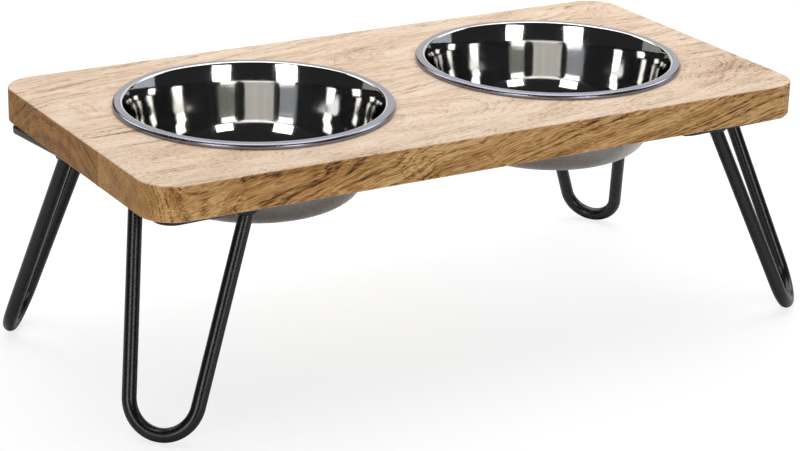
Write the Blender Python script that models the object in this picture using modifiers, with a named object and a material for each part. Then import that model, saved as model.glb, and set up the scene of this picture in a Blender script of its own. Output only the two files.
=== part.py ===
"""A raised cat feeding station: two steel bowls hung in a wooden board on four hairpin legs.

Metres, +Z up. The origin is on the floor under the middle of the board, +X runs along the board and
the front is -Y. Each leg was welded and screwed on by hand, so each stands a little off the regular layout.
"""

import math
from dataclasses import dataclass

import bmesh
import bpy
from mathutils import Matrix, Vector

# Gap kept between pieces that touch
TOUCH_GAP = 0.0003

# Wooden board, glued up from two staves
STAND_HEIGHT = 0.1390
BOARD_LENGTH = 0.4000
BOARD_DEPTH = 0.2000
BOARD_THICKNESS = 0.0190
BOARD_CORNER_RADIUS = 0.0190
BOARD_EDGE_EASING = 0.0009
FRONT_STAVE_DEPTH = 0.0660

# Pressed steel bowls
BOWL_SHIFT_INWARDS = 0.0060
BOWL_LIP_RADIUS = 0.0755
BOWL_LIP_WIDTH = 0.0044
BOWL_LIP_RISE = 0.0028
BOWL_LIP_EDGE_RADIUS = 0.0016
BOWL_MOUTH_ROUNDING = 0.00125
BOWL_FLARE_TAPER = math.radians(21.6)
BOWL_FLARE_RADIUS = 0.0517
BOWL_WALL_TAPER = math.radians(9.0)
BOWL_HAUNCH_RADIUS = 0.0401
BOWL_HAUNCH_TAPER = math.radians(35.1)
BOWL_COVE_RADIUS = 0.0162
BOWL_DROP = 0.0501
BOWL_SHEET = 0.0007
BOWL_HOLE_CLEARANCE = 0.0010
BOWL_STEPS = 60

# Mounting plates: right triangles with rounded corners
PLATE_THICKNESS = 0.0030
PLATE_SIDE = 0.0900
PLATE_CORNER_ROUNDING = 0.0095
PLATE_TIP_ROUNDING = 0.0080
PLATE_INSET_FROM_END = 0.0050
PLATE_INSET_FROM_SIDE = 0.0085

# Hairpin rods
ROD_DIAMETER = 0.0076
ROD_SPREAD = 0.0612
ROD_BEND_RADIUS = 0.0190
ROD_LEAN = math.radians(21.0)
ROD_MIDDLE_FROM_PLATE_SIDES = 0.0320
ROD_BEND_STEPS = 16

# Weld beads round the rods' ends
WELD_WIDTH = 0.0021
WELD_TOE = 0.0004
WELD_HEIGHT = 0.0040

# Wood screws
SCREW_SHANK_DIAMETER = 0.0035
SCREW_LENGTH = 0.0160
SCREW_TIP_LENGTH = 0.0040
SCREW_HEAD_DIAMETER = 0.0072
SCREW_HEAD_HEIGHT = 0.0024
SCREW_RECESS_WIDTH = 0.0009
SCREW_RECESS_LENGTH = 0.0038
SCREW_RECESS_DEPTH = 0.0013
SCREW_PLATE_PLAY = 0.0004
SCREW_CORNER_INSET = 0.0110
PILOT_DEPTH_TO_SPARE = 0.0006

BOARD_UNDERSIDE = STAND_HEIGHT - BOARD_THICKNESS
PLATE_TOP = BOARD_UNDERSIDE - TOUCH_GAP
PLATE_UNDERSIDE = PLATE_TOP - PLATE_THICKNESS
SEAM_Y = FRONT_STAVE_DEPTH - BOARD_DEPTH / 2
# Each bowl stands in the middle of its half of the board, shifted inwards to keep clear of the plates
BOWL_FROM_BOARD_MIDDLE = BOARD_LENGTH / 4 - BOWL_SHIFT_INWARDS
ROD_RADIUS = ROD_DIAMETER / 2
SHANK_RADIUS = SCREW_SHANK_DIAMETER / 2


@dataclass(frozen=True)
class Leg:
    """One leg's corner, and how far its hand-set parts stand off the regular layout.

    Shifts along X and Y and the extra bend radius are in metres. Turns, counter-clockwise as seen from
    above, and the extra lean are in degrees. The rod's shift is from its regular place on the plate.
    """

    name: str
    x_side: int
    y_side: int
    plate_shift: tuple[float, float]
    plate_turn: float
    rod_shift: tuple[float, float]
    rod_turn: float
    extra_lean: float
    extra_bend: float = 0.0


LEGS = (
    Leg("front_left", -1, -1, (0.0025, -0.0030), 3.0, (0.0004, 0.0033), -3.6, 0.5),
    Leg("back_left", -1, 1, (-0.0077, -0.0100), 7.0, (0.0014, 0.0077), 8.0, -0.8),
    Leg("front_right", 1, -1, (0.0050, 0.0), 2.7, (0.0042, 0.0004), 3.4, 2.3),
    Leg("back_right", 1, 1, (-0.0040, 0.0015), -4.0, (0.0005, -0.0013), -11.1, -3.5, -0.0028),
)


def clear_scene():
    for obj in list(bpy.data.objects):
        bpy.data.objects.remove(obj, do_unlink=True)


def new_collection(name):
    collection = bpy.data.collections.new(name)
    bpy.context.scene.collection.children.link(collection)
    return collection


def new_material(name, color, roughness, metallic):
    material = bpy.data.materials.new(name)
    material.use_nodes = True
    shader = material.node_tree.nodes["Principled BSDF"]
    shader.inputs["Base Color"].default_value = (*color, 1.0)
    shader.inputs["Roughness"].default_value = roughness
    shader.inputs["Metallic"].default_value = metallic
    return material


def add_object(name, data, collection, material=None, parent=None):
    obj = bpy.data.objects.new(name, data)
    collection.objects.link(obj)
    obj.parent = parent
    if material and material.name not in data.materials:
        data.materials.append(material)
    return obj


def add_bmesh_object(name, shape, collection, material=None, parent=None):
    mesh = bpy.data.meshes.new(name)
    shape.to_mesh(mesh)
    shape.free()
    mesh.shade_smooth()
    mesh.set_sharp_from_angle(angle=math.radians(30))
    return add_object(name, mesh, collection, material, parent)


def add_empty(name, location, collection, parent=None):
    empty = add_object(name, None, collection, parent=parent)
    empty.location = location
    return empty


def mark_as_cutter(obj):
    obj.hide_render = True
    obj.display_type = "WIRE"
    return obj


def cut(obj, name, cutter):
    """Cuts away one object, or every object of a collection."""
    modifier = obj.modifiers.new(name, "BOOLEAN")
    modifier.operation = "DIFFERENCE"
    modifier.solver = "EXACT"
    if isinstance(cutter, bpy.types.Collection):
        modifier.operand_type = "COLLECTION"
        modifier.collection = cutter
    else:
        modifier.object = cutter


def box(width, depth, height, centre=(0.0, 0.0, 0.0)):
    shape = bmesh.new()
    size = Matrix.Diagonal((width, depth, height, 1.0))
    bmesh.ops.create_cube(shape, size=1.0, matrix=Matrix.Translation(centre) @ size)
    return shape


def add_cone(shape, low_radius, high_radius, height, segments, matrix):
    """Adds a closed cone or cylinder that stands on the matrix's origin."""
    lift = Matrix.Translation((0.0, 0.0, height / 2))
    bmesh.ops.create_cone(
        shape,
        cap_ends=True,
        segments=segments,
        radius1=low_radius,
        radius2=high_radius,
        depth=height,
        matrix=matrix @ lift,
    )


def arc(centre, radius, start, end, steps):
    """Points along an arc from one angle to another, both included."""
    angles = [start + (end - start) * i / steps for i in range(steps + 1)]
    return [(centre[0] + radius * math.cos(a), centre[1] + radius * math.sin(a)) for a in angles]


def rounded_outline(corners, radii, steps):
    """A polygon whose corners are replaced by arcs that its sides run into."""
    points = []
    for i, (corner, radius) in enumerate(zip(corners, radii)):
        corner = Vector(corner)
        before = (Vector(corners[i - 1]) - corner).normalized()
        after = (Vector(corners[(i + 1) % len(corners)]) - corner).normalized()
        half_angle = before.angle(after) / 2
        centre = corner + (before + after).normalized() * radius / math.sin(half_angle)
        run = radius / math.tan(half_angle)
        first = corner + before * run - centre
        last = corner + after * run - centre
        start = math.atan2(first.y, first.x)
        swing = (math.atan2(last.y, last.x) - start + math.pi) % (2 * math.pi) - math.pi
        points += arc(centre, radius, start, start + swing, steps)
    return points


def add_poly_spline(curve, points, cyclic):
    spline = curve.splines.new("POLY")
    spline.points.add(len(points) - 1)
    for spline_point, point in zip(spline.points, points):
        spline_point.co = (*point, *[0.0] * (3 - len(point)), 1.0)
    spline.use_cyclic_u = cyclic


def flat_curve(name, thickness, outlines):
    """A flat plate round Z = 0: the first outline is its edge, and those inside it are holes."""
    curve = bpy.data.curves.new(name, "CURVE")
    curve.dimensions = "2D"
    curve.fill_mode = "BOTH"
    curve.extrude = thickness / 2
    for points in outlines:
        add_poly_spline(curve, points, cyclic=True)
    return curve


def turned_object(name, profile, steps, collection, material=None):
    """A profile of (radius, height) points turned about Z."""
    mesh = bpy.data.meshes.new(name)
    edges = [(i, i + 1) for i in range(len(profile) - 1)]
    mesh.from_pydata([(radius, 0.0, height) for radius, height in profile], edges, [])
    obj = add_object(name, mesh, collection, material)
    screw = obj.modifiers.new("turn", "SCREW")
    screw.steps = steps
    screw.render_steps = steps
    screw.use_merge_vertices = True
    screw.merge_threshold = 0.00001
    screw.use_smooth_shade = True
    return obj


def made_into_mesh(obj, name):
    """The evaluated shape as a mesh with its loose caps welded. The object is removed."""
    bpy.context.view_layer.update()
    graph = bpy.context.evaluated_depsgraph_get()
    mesh = bpy.data.meshes.new_from_object(obj.evaluated_get(graph))
    mesh.name = name
    bpy.data.objects.remove(obj)
    shape = bmesh.new()
    shape.from_mesh(mesh)
    bmesh.ops.remove_doubles(shape, verts=shape.verts, dist=0.00001)
    shape.to_mesh(mesh)
    shape.free()
    return mesh


def bowl_outer_radius_below_lip():
    """Radius of the wall's outside just below the lip, where the mouth's rounding ends."""
    rounding = BOWL_MOUTH_ROUNDING - BOWL_SHEET
    return BOWL_LIP_RADIUS - BOWL_LIP_WIDTH - rounding * math.cos(BOWL_FLARE_TAPER)


def run_down(start, radius, taper, end_taper, steps):
    """Points down a curved wall whose taper, its lean off the vertical, changes from one angle to another.

    A growing taper makes the wall hollow and a shrinking one makes it flare. The start is left out.
    """
    sign = math.copysign(radius, end_taper - taper)
    points = []
    for i in range(1, steps + 1):
        angle = taper + (end_taper - taper) * i / steps
        inwards = sign * (math.cos(taper) - math.cos(angle))
        down = sign * (math.sin(angle) - math.sin(taper))
        points.append((start[0] - inwards, start[1] - down))
    return points


def bowl_profile():
    """The bowl's inner and upper surface, from the middle of its floor to the lip's lower edge.

    Heights are above the board's top. A flat floor runs through a cove and a hollow haunch into a straight
    wall, which flares to the rounded mouth. The flat lip's edge is turned down onto the board.
    """
    floor = BOWL_SHEET - BOWL_DROP
    level = math.pi / 2
    lip_inside = (BOWL_LIP_RADIUS - BOWL_LIP_WIDTH, BOWL_LIP_RISE)
    mouth = run_down(lip_inside, BOWL_MOUTH_ROUNDING, level, BOWL_FLARE_TAPER, 4)
    flare = run_down(mouth[-1], BOWL_FLARE_RADIUS, BOWL_FLARE_TAPER, BOWL_WALL_TAPER, 3)
    haunch_fall = BOWL_HAUNCH_RADIUS * (math.sin(BOWL_HAUNCH_TAPER) - math.sin(BOWL_WALL_TAPER))
    cove_fall = BOWL_COVE_RADIUS * (1 - math.sin(BOWL_HAUNCH_TAPER))
    wall_foot_height = floor + cove_fall + haunch_fall
    wall_fall = flare[-1][1] - wall_foot_height
    wall_foot = (flare[-1][0] - math.tan(BOWL_WALL_TAPER) * wall_fall, wall_foot_height)
    haunch = run_down(wall_foot, BOWL_HAUNCH_RADIUS, BOWL_WALL_TAPER, BOWL_HAUNCH_TAPER, 4)
    cove = run_down(haunch[-1], BOWL_COVE_RADIUS, BOWL_HAUNCH_TAPER, level, 5)
    inside = [lip_inside, *mouth, *flare, wall_foot, *haunch, *cove]
    edge_centre = (BOWL_LIP_RADIUS - BOWL_LIP_EDGE_RADIUS, BOWL_LIP_RISE - BOWL_LIP_EDGE_RADIUS)
    edge = arc(edge_centre, BOWL_LIP_EDGE_RADIUS, level, 0.0, 3)
    return [(0.0, floor), *reversed(inside), *edge, (BOWL_LIP_RADIUS, TOUCH_GAP)]


def add_bowls(collection, steel):
    """Two equal bowls, each with its origin on its own axis at the board's top."""
    profile = bowl_profile()
    for name, side in (("left_bowl", -1), ("right_bowl", 1)):
        bowl = turned_object(name, profile, BOWL_STEPS, collection, steel)
        bowl.location = (side * BOWL_FROM_BOARD_MIDDLE, 0.0, STAND_HEIGHT)
        wall = bowl.modifiers.new("sheet", "SOLIDIFY")
        wall.thickness = BOWL_SHEET
        wall.offset = -1.0
        wall.use_even_offset = True


def board_blank():
    shape = box(BOARD_LENGTH, BOARD_DEPTH, BOARD_THICKNESS)
    upright = [edge for edge in shape.edges if abs(edge.verts[0].co.z - edge.verts[1].co.z) > 0]
    bmesh.ops.bevel(
        shape,
        geom=upright,
        offset=BOARD_CORNER_RADIUS,
        segments=8,
        profile=0.5,
        affect="EDGES",
    )
    return shape


def add_bowl_hole_cutter(cutters):
    shape = bmesh.new()
    radius = bowl_outer_radius_below_lip() + BOWL_HOLE_CLEARANCE
    height = BOARD_THICKNESS * 2
    for side in (-1, 1):
        foot = (side * BOWL_FROM_BOARD_MIDDLE, 0.0, STAND_HEIGHT - BOARD_THICKNESS / 2 - height / 2)
        add_cone(shape, radius, radius, height, BOWL_STEPS, Matrix.Translation(foot))
    return mark_as_cutter(add_bmesh_object("bowl_holes", shape, cutters))


def add_board(collection, cutters, pilots, wood):
    """Two staves with flush edges, parted at the glue seam. Both carry part of each bowl hole."""
    middle = STAND_HEIGHT - BOARD_THICKNESS / 2
    bowl_holes = add_bowl_hole_cutter(cutters)
    for name, other_side in (("front_stave", 1), ("back_stave", -1)):
        stave = add_bmesh_object(name, board_blank(), collection, wood)
        stave.location.z = middle
        cut(stave, "bowl holes", bowl_holes)
        easing = stave.modifiers.new("ease edges", "BEVEL")
        easing.width = BOARD_EDGE_EASING
        easing.segments = 2
        easing.limit_method = "ANGLE"
        easing.angle_limit = math.radians(40)
        seam_y = SEAM_Y - other_side * TOUCH_GAP / 2
        rest = box(
            BOARD_LENGTH * 2,
            BOARD_DEPTH * 2,
            BOARD_THICKNESS * 2,
            (0.0, seam_y + other_side * BOARD_DEPTH, middle),
        )
        cut(stave, "seam", mark_as_cutter(add_bmesh_object(name + "_seam", rest, cutters)))
        cut(stave, "pilot holes", pilots)


def plate_corner(leg):
    """The plate's square corner before rounding, on its underside."""
    x = leg.x_side * (BOARD_LENGTH / 2 - PLATE_INSET_FROM_END) + leg.plate_shift[0]
    y = leg.y_side * (BOARD_DEPTH / 2 - PLATE_INSET_FROM_SIDE) + leg.plate_shift[1]
    return Vector((x, y, PLATE_UNDERSIDE))


def rod_middle(leg):
    """Where the middle between the rod's two ends meets the plate, from the plate's corner."""
    x = leg.rod_shift[0] - leg.x_side * ROD_MIDDLE_FROM_PLATE_SIDES
    y = leg.rod_shift[1] - leg.y_side * ROD_MIDDLE_FROM_PLATE_SIDES
    return Vector((x, y, 0.0))


def outward_diagonal(leg):
    """Angle of the diagonal from the board's middle towards the leg's corner."""
    return math.atan2(leg.y_side, leg.x_side)


def tip_screw_distance():
    """How far along a side the middle of a tip's rounding lies from the plate's corner."""
    return PLATE_SIDE - PLATE_TIP_ROUNDING / math.tan(math.radians(22.5))


def screw_places():
    """Screw positions in the plate's own frame, by the end of their names."""
    return {
        "corner": (-SCREW_CORNER_INSET, -SCREW_CORNER_INSET),
        "x_tip": (-tip_screw_distance(), -PLATE_TIP_ROUNDING),
        "y_tip": (-PLATE_TIP_ROUNDING, -tip_screw_distance()),
    }


def plate_curve(name):
    """A right triangle whose square corner is at the origin, with its sides along -X and -Y."""
    corners = ((0.0, 0.0), (-PLATE_SIDE, 0.0), (0.0, -PLATE_SIDE))
    radii = (PLATE_CORNER_ROUNDING, PLATE_TIP_ROUNDING, PLATE_TIP_ROUNDING)
    edge = rounded_outline(corners, radii, steps=8)
    hole_radius = SHANK_RADIUS + SCREW_PLATE_PLAY
    holes = [arc(place, hole_radius, 0.0, 2 * math.pi, 16)[:-1] for place in screw_places().values()]
    return flat_curve(name, PLATE_THICKNESS, [edge, *holes])


def add_plate(leg, frame, collection, steel):
    """The plate's square corner is on the leg's origin and points at the board's corner."""
    name = leg.name + "_plate"
    plate = add_object(name, plate_curve(name), collection, steel, frame)
    plate.location.z = PLATE_THICKNESS / 2
    plate.rotation_euler.z = outward_diagonal(leg) - math.radians(45) + math.radians(leg.plate_turn)
    return plate


def hairpin_path(leg):
    """The rod's centre line: a run down, a round bend and a run up, in a plane that leans outwards.

    In the leg's frame +X is the way it leans. The runs start at the plate and touch the bend's circle.
    Returns the two ends and the points of the bend.
    """
    lean = ROD_LEAN + math.radians(leg.extra_lean)
    down = Vector((math.sin(lean), 0.0, -math.cos(lean)))
    across = Vector((0.0, 1.0, 0.0))
    half_spread = ROD_SPREAD / 2
    bend_radius = ROD_BEND_RADIUS + leg.extra_bend
    bend_distance = (PLATE_UNDERSIDE - ROD_RADIUS) / math.cos(lean) - bend_radius
    to_bend = math.hypot(bend_distance, half_spread)
    closing = math.acos(bend_radius / to_bend) - math.atan2(bend_distance, half_spread)
    reach = math.pi / 2 - closing
    bend = [
        down * (bend_distance + along) + across * sideways
        for along, sideways in arc((0.0, 0.0), bend_radius, reach, -reach, ROD_BEND_STEPS)
    ]
    return across * half_spread, bend, across * -half_spread


def add_hairpin(leg, frame, collection, steel):
    """The bent rod, whose two ends are cut level just under the plate."""
    first, bend, last = hairpin_path(leg)
    to_spare = ROD_DIAMETER
    high_first = first + (first - bend[0]).normalized() * to_spare
    high_last = last + (last - bend[-1]).normalized() * to_spare
    name = leg.name + "_hairpin"
    curve = bpy.data.curves.new(name, "CURVE")
    curve.dimensions = "3D"
    curve.bevel_depth = ROD_RADIUS
    curve.bevel_resolution = 4
    curve.use_fill_caps = True
    add_poly_spline(curve, [high_first, *bend, high_last], cyclic=False)
    mesh = made_into_mesh(add_object(name, curve, collection), name)
    shape = bmesh.new()
    shape.from_mesh(mesh)
    cut_faces = bmesh.ops.bisect_plane(
        shape,
        geom=[*shape.verts, *shape.edges, *shape.faces],
        plane_co=(0.0, 0.0, -TOUCH_GAP),
        plane_no=(0.0, 0.0, 1.0),
        clear_outer=True,
    )
    rims = [item for item in cut_faces["geom_cut"] if isinstance(item, bmesh.types.BMEdge)]
    bmesh.ops.edgeloop_fill(shape, edges=rims)
    bmesh.ops.recalc_face_normals(shape, faces=shape.faces)
    bpy.data.meshes.remove(mesh)
    hairpin = add_bmesh_object(name, shape, collection, steel, frame)
    return hairpin


def add_weld(name, rod_end, down, frame, collection, cutters, steel):
    """A bead that follows the leaning rod, wide at the plate and narrow below, open round the rod."""
    steepness = abs(down.z)
    high_radius = ROD_RADIUS / steepness + WELD_WIDTH
    low_radius = (ROD_RADIUS + TOUCH_GAP) / steepness + WELD_TOE
    follow = Matrix.Identity(4)
    follow[0][2] = down.x / down.z
    follow[1][2] = down.y / down.z
    lower = Matrix.Translation((0.0, 0.0, -TOUCH_GAP - WELD_HEIGHT))
    shape = bmesh.new()
    place = Matrix.Translation(rod_end)
    add_cone(shape, low_radius, high_radius, WELD_HEIGHT, 16, place @ follow @ lower)
    weld = add_bmesh_object(name, shape, collection, steel, frame)
    bore = bmesh.new()
    along_rod = down.to_track_quat("Z", "Y").to_matrix().to_4x4()
    back = Matrix.Translation((0.0, 0.0, -WELD_HEIGHT * 2))
    radius = ROD_RADIUS + TOUCH_GAP
    add_cone(bore, radius, radius, WELD_HEIGHT * 5, 16, place @ along_rod @ back)
    cut(weld, "bore", mark_as_cutter(add_bmesh_object(name + "_bore", bore, cutters, parent=frame)))


def add_welds(leg, frame, collection, cutters, steel):
    """One bead at each end of the rod, named for the edge of the board that it is nearer."""
    first, bend, last = hairpin_path(leg)
    ends = [(first, (bend[0] - first).normalized()), (last, (bend[-1] - last).normalized())]
    if leg.x_side != leg.y_side:
        ends.reverse()
    for which, (rod_end, down) in zip(("side", "end"), ends):
        add_weld(f"{leg.name}_weld_{which}", rod_end, down, frame, collection, cutters, steel)


def screw_mesh(scratch, steel):
    """A round-headed wood screw with a cross recess. Z = 0 is where its head bears, and it points up."""
    head_radius = SCREW_HEAD_DIAMETER / 2
    shank_top = SCREW_LENGTH - SCREW_TIP_LENGTH
    dome = [
        (head_radius * math.cos(angle), -SCREW_HEAD_HEIGHT * math.sin(angle))
        for angle in (0.0, math.radians(30), math.radians(60), math.radians(90))
    ]
    dome[-1] = (0.0, -SCREW_HEAD_HEIGHT)
    profile = [(0.0, SCREW_LENGTH), (SHANK_RADIUS, shank_top), (SHANK_RADIUS, 0.0), *dome]
    screw = turned_object("screw", profile, 12, scratch, steel)
    slots = []
    for width, depth in (
        (SCREW_RECESS_LENGTH, SCREW_RECESS_WIDTH),
        (SCREW_RECESS_WIDTH, SCREW_RECESS_LENGTH),
    ):
        shape = box(width, depth, SCREW_RECESS_DEPTH * 2, (0.0, 0.0, -SCREW_HEAD_HEIGHT))
        slots.append(mark_as_cutter(add_bmesh_object("slot", shape, scratch)))
        cut(screw, "slot", slots[-1])
    mesh = made_into_mesh(screw, "wood_screw")
    for slot in slots:
        bpy.data.objects.remove(slot)
    mesh.set_sharp_from_angle(angle=math.radians(30))
    return mesh


def pilot_mesh():
    """The hole that one screw needs in the board, in the screw's own frame."""
    shape = bmesh.new()
    radius = SHANK_RADIUS + TOUCH_GAP
    add_cone(shape, radius, radius, SCREW_LENGTH + PILOT_DEPTH_TO_SPARE, 12, Matrix.Identity(4))
    mesh = bpy.data.meshes.new("pilot_hole")
    shape.to_mesh(mesh)
    shape.free()
    return mesh


def add_screws(leg, plate, screw, pilot, collection, pilots):
    """Three screws, whose heads bear on the plate's underside, with a pilot hole for each."""
    for which, (x, y) in screw_places().items():
        place = (x, y, -PLATE_THICKNESS / 2 - TOUCH_GAP)
        for obj in (
            add_object(f"{leg.name}_screw_{which}", screw, collection, parent=plate),
            mark_as_cutter(add_object(f"{leg.name}_pilot_{which}", pilot, pilots, parent=plate)),
        ):
            obj.location = place


def main():
    clear_scene()
    parts = new_collection("cat_feeding_station")
    cutters = new_collection("cutters")
    pilots = new_collection("pilot_holes")
    wood = new_material("oiled_mango_wood", (0.48, 0.31, 0.16), 0.55, 0.0)
    bowl_steel = new_material("polished_stainless_steel", (0.62, 0.61, 0.62), 0.12, 1.0)
    black_steel = new_material("black_powder_coated_steel", (0.012, 0.012, 0.013), 0.45, 0.0)
    screw_steel = new_material("black_zinc_plated_steel", (0.03, 0.03, 0.03), 0.35, 1.0)

    screw = screw_mesh(cutters, screw_steel)
    pilot = pilot_mesh()
    for leg in LEGS:
        leg_frame = add_empty(leg.name + "_leg", plate_corner(leg), parts)
        rod_frame = add_empty(leg.name + "_rod_frame", rod_middle(leg), parts, leg_frame)
        rod_frame.rotation_euler.z = outward_diagonal(leg) + math.radians(leg.rod_turn)
        plate = add_plate(leg, leg_frame, parts, black_steel)
        add_hairpin(leg, rod_frame, parts, black_steel)
        add_welds(leg, rod_frame, parts, cutters, black_steel)
        add_screws(leg, plate, screw, pilot, parts, pilots)
    add_board(parts, cutters, pilots, wood)
    add_bowls(parts, bowl_steel)


if __name__ == "__main__":
    main()
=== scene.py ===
"""Looks of a raised cat feeding station: a mango board on hairpin legs, with two steel bowls.

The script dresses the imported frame. Every new piece is a surface worked out with numpy in the frame's
own metres, rides on a body of the frame and stands for the solid that it covers. +X runs along the
board, the front is -Y, and the floor is at Z = 0.
"""

from __future__ import annotations

import logging
import math
from dataclasses import dataclass
from enum import Enum

import bmesh
import bpy
import numpy as np
from mathutils import Euler, Matrix, Vector
from mathutils.geometry import tessellate_polygon

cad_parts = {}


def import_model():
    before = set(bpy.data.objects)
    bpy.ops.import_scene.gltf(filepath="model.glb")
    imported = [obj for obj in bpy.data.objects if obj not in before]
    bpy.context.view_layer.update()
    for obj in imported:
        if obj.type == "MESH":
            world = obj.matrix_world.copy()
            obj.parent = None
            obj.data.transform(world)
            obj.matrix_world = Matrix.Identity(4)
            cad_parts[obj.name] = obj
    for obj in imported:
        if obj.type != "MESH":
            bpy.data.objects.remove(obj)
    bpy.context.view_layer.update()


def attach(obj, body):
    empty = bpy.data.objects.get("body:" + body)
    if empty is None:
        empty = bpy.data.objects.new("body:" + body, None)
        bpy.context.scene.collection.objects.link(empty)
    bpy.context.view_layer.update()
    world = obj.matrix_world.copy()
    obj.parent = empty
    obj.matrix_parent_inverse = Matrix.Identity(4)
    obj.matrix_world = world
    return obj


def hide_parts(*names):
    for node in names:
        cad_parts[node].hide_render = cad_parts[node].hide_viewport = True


LOG = logging.getLogger("feeding_station")

Points = np.ndarray
Pair = tuple[float, float]
Triple = tuple[float, float, float]
Tones = tuple[str, str, str]
Inputs = dict[str | int, object]
Tree = bpy.types.NodeTree
Socket = bpy.types.NodeSocket
Material = bpy.types.Material
Object = bpy.types.Object

MM = 0.001
MERGE_DISTANCE = 1e-6
# A quarter turn, in radians
QUARTER = math.pi / 2
# Edges that bend by more than this are drawn sharp
SHARP_ANGLE = math.radians(35)
SMOOTH = {"interpolation_type": "SMOOTHSTEP"}
WHITE = "ffffff"
# Attribute of turned pieces: across X and Y the point's bearing on a circle, and along Z the way from
# the axis over the surface, all in metres
SPIN = "spin"


class Corner(Enum):
    """The four corners of the board, each with the signs of its X and Y."""

    FRONT_LEFT = (-1, -1)
    BACK_LEFT = (-1, 1)
    FRONT_RIGHT = (1, -1)
    BACK_RIGHT = (1, 1)

    @property
    def label(self) -> str:
        """The start of the names of this corner's pieces."""
        return self.name.lower()

    @property
    def diagonal(self) -> float:
        """The angle from the board's middle out to this corner, in radians."""
        return math.atan2(self.value[1], self.value[0])


class Body(Enum):
    """The rigid bodies of the frame."""

    STAND = "stand"
    LEFT_BOWL = "left_bowl"
    RIGHT_BOWL = "right_bowl"


def linear(hex_colour: str) -> tuple[float, float, float, float]:
    """Turns an sRGB colour into the linear one that a shader takes.

    Args:
        hex_colour: Six hex digits, such as "c9a77f".

    Returns:
        Linear red, green and blue, and an alpha of one.
    """
    srgb = np.array([int(hex_colour[i : i + 2], 16) for i in (0, 2, 4)]) / 255
    curve = np.where(srgb <= 0.04045, srgb / 12.92, ((srgb + 0.055) / 1.055) ** 2.4)
    return (*curve.tolist(), 1.0)


def set_inputs(tree: Tree, node: bpy.types.Node, inputs: Inputs) -> None:
    """Sets the inputs of a node.

    Args:
        tree: The node's tree.
        node: The node.
        inputs: A value or another node's output for each input, by its name or number.
    """
    for name, value in inputs.items():
        if isinstance(value, Socket):
            tree.links.new(value, node.inputs[name])
        else:
            node.inputs[name].default_value = value


def add_node(
    tree: Tree, kind: str, settings: dict[str, object] | None = None, inputs: Inputs | None = None
) -> bpy.types.Node:
    """Adds a shader node.

    Args:
        tree: The node tree that it goes into.
        kind: The node's type name.
        settings: Properties of the node by name. A list for "ramp" sets the stops of a colour ramp.
        inputs: A value or another node's output for each input, by its name or number.

    Returns:
        The new node.
    """
    node = tree.nodes.new(kind)
    for name, value in (settings or {}).items():
        if name == "ramp":
            stops = node.color_ramp.elements
            while len(stops) < len(value):
                stops.new(0.5)
            for stop, (place, colour) in zip(stops, value):
                stop.position = place
                stop.color = colour
        else:
            setattr(node, name, value)
    set_inputs(tree, node, inputs or {})
    return node


def new_material(name: str) -> tuple[Material, Tree, bpy.types.Node]:
    """Makes a material of nodes.

    Args:
        name: Its name.

    Returns:
        The material, its node tree and its shader.
    """
    material = bpy.data.materials.new(name)
    material.use_nodes = True
    return material, material.node_tree, material.node_tree.nodes["Principled BSDF"]


def cell_noise(
    tree: Tree, place: Socket, cell: Triple, detail: float, roughness: float, distortion: float = 0.0
) -> bpy.types.Node:
    """Cloudy noise whose clouds are drawn out to a size.

    Args:
        tree: The node tree that it goes into.
        place: Where the noise is read.
        cell: The clouds' length along each axis, in millimetres.
        detail: How many finer octaves ride on the clouds.
        roughness: How strong each octave is beside the one before.
        distortion: How far the clouds curl.

    Returns:
        The noise node.
    """
    scale = tuple(1 / (length * MM) for length in cell)
    mapped = add_node(tree, "ShaderNodeMapping", {}, {"Vector": place, "Scale": scale})
    inputs = {
        "Vector": mapped.outputs["Vector"],
        "Scale": 1.0,
        "Detail": detail,
        "Roughness": roughness,
        "Distortion": distortion,
    }
    return add_node(tree, "ShaderNodeTexNoise", {"noise_dimensions": "3D"}, inputs)


def stretched_noise(
    tree: Tree, place: Socket, cell: Triple, contrast: Pair, detail: float = 2.0, distortion: float = 0.0
) -> Socket:
    """Cloudy noise of a size, spread from 0 in its valleys to 1 on its hills.

    Args:
        tree: The node tree that it goes into.
        place: Where the pattern is read.
        cell: The clouds' length along each axis, in millimetres.
        contrast: The noise values that become 0 and 1.
        detail: How many finer octaves ride on the clouds.
        distortion: How far the clouds curl.

    Returns:
        The pattern's output.
    """
    noise = cell_noise(tree, place, cell, detail, 0.6, distortion)
    low, high = contrast
    spread = {"Value": noise.outputs["Fac"], "From Min": low, "From Max": high}
    return add_node(tree, "ShaderNodeMapRange", SMOOTH, spread).outputs["Result"]


def weighed_sum(tree: Tree, terms: list[tuple[Socket, float | Socket]], base: float = 0.0) -> Socket:
    """Adds up patterns, each times its weight.

    Args:
        tree: The node tree that it goes into.
        terms: The patterns and their weights. A weight can be a pattern too, which gives their product.
        base: What the sum starts from.

    Returns:
        The sum's output.
    """
    total: Socket | float = base
    for pattern, weight in terms:
        factors = {0: pattern, 1: weight, 2: total}
        total = add_node(tree, "ShaderNodeMath", {"operation": "MULTIPLY_ADD"}, factors).outputs["Value"]
    return total


def arc(centre: Pair, radius: float, start: float, end: float, steps: int) -> Points:
    """Points on a circle: the centre plus the radius times the cosine and sine of an even run of angles.

    Args:
        centre: The circle's middle.
        radius: Its radius.
        start: The first angle, in radians.
        end: The last angle, in radians.
        steps: How many stretches the arc is cut into.

    Returns:
        An array of steps + 1 points.
    """
    angles = np.linspace(start, end, steps + 1)
    return np.asarray(centre) + radius * np.stack([np.cos(angles), np.sin(angles)], axis=1)


def full_turn(steps: int) -> Points:
    """Even angles round a circle, in radians, without the last one, which is the first again."""
    return np.linspace(0, 2 * math.pi, steps, endpoint=False)


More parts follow.
